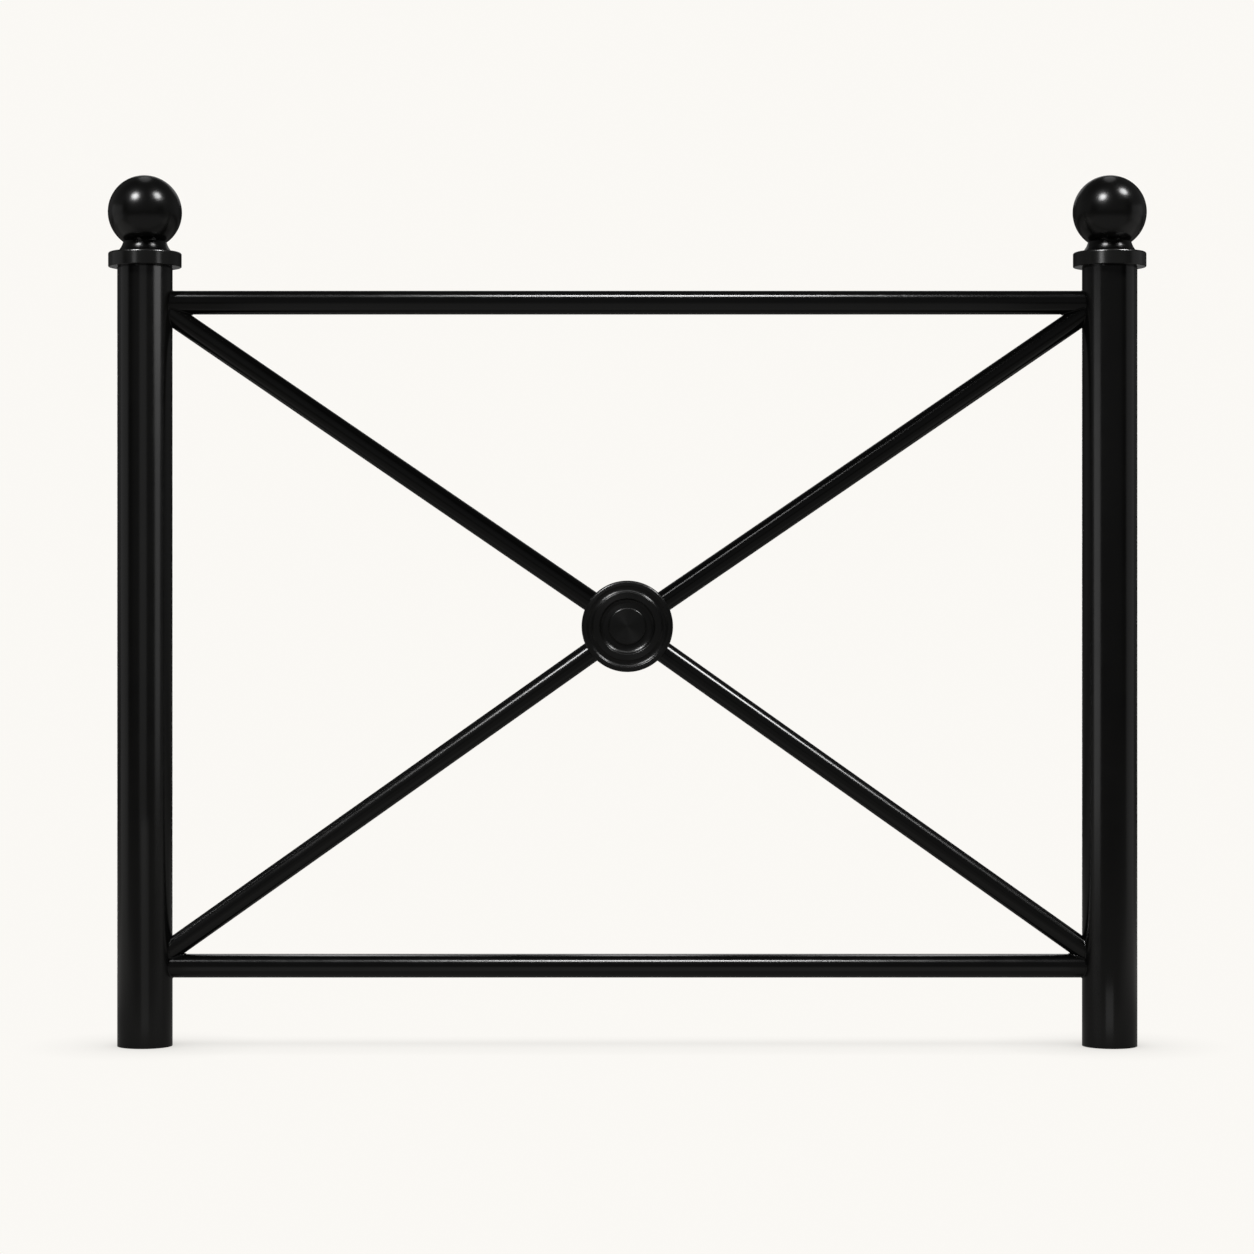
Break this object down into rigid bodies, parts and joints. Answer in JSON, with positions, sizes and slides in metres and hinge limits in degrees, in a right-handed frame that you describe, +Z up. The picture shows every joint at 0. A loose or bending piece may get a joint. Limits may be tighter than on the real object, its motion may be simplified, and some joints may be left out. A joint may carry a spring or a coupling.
{
  "type": "street barrier",
  "caption": "Black tubular street barrier: ball-topped posts joined by round rails and a diagonal cross with a turned medallion at its centre.",
  "frame": {"origin": "centre of the left post's foot, at ground level", "axes": "+X along the barrier to the right post, -Y to the front, +Z up"},
  "size_m": [1.1408, 0.0808, 0.956],
  "materials": {
    "tube_paint": "gloss black coating on steel tube",
    "casting_paint": "gloss black coating on turned and cast fittings"
  },
  "bodies": {
    "root": {"left_post": "tube_paint", "right_post": "tube_paint", "bottom_rail": "tube_paint", "top_rail": "tube_paint", "lower_left_brace": "tube_paint", "lower_right_brace": "tube_paint", "upper_left_brace": "tube_paint", "upper_right_brace": "tube_paint", "centre_hub": "tube_paint", "front_medallion": "casting_paint", "rear_medallion": "casting_paint", "left_finial_collar": "casting_paint", "right_finial_collar": "casting_paint", "left_finial_neck": "casting_paint", "right_finial_neck": "casting_paint", "left_finial_ball": "casting_paint", "right_finial_ball": "casting_paint"}
  },
  "joints": []
}
